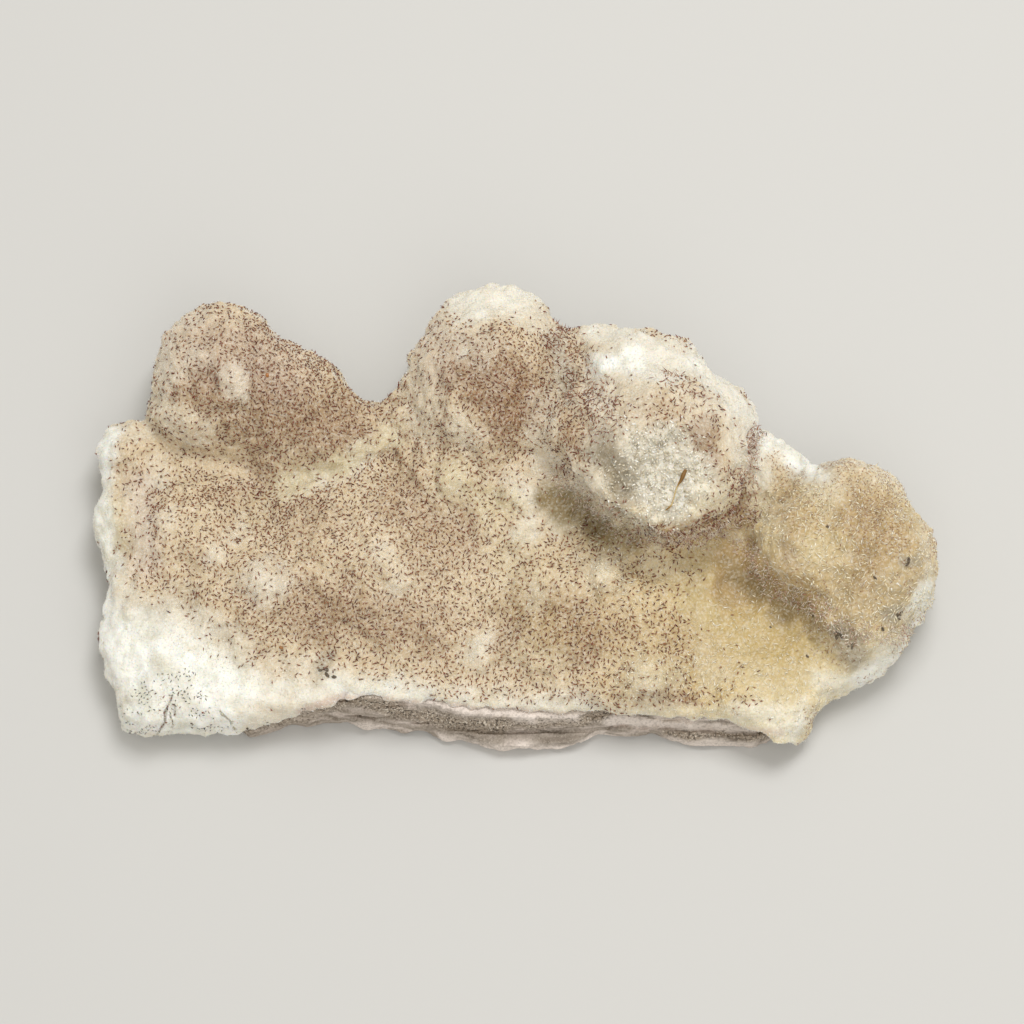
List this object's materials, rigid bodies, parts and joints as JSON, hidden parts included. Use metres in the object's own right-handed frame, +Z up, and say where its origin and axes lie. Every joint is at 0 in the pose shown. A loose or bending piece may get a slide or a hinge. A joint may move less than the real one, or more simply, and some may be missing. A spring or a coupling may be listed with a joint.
{
  "type": "hydrozincite mineral specimen",
  "caption": "Knobbly hydrozincite crust with velvety rounded lobes and a dished knob, grown on a thin slab of layered host rock with a flat underside to lie on.",
  "frame": {"origin": "middle of the specimen's footprint, on the surface that it lies on", "axes": "+X along the specimen's length, to the right as pictured; +Y across it, towards the edge with the notch and the knobs, upwards as pictured; +Z up out of the crust, away from the rock's flat parting face"},
  "size_m": [0.0914, 0.0524, 0.0235],
  "materials": {
    "hydrozincite_crust": "satin, velvety, waxy cream-white mineral with pinkish-brown needle fur",
    "host_rock": "matt, grey-brown layered rock with pinkish-white seams"
  },
  "bodies": {
    "root": {"hydrozincite_crust": "hydrozincite_crust", "host_rock": "host_rock"}
  },
  "joints": []
}
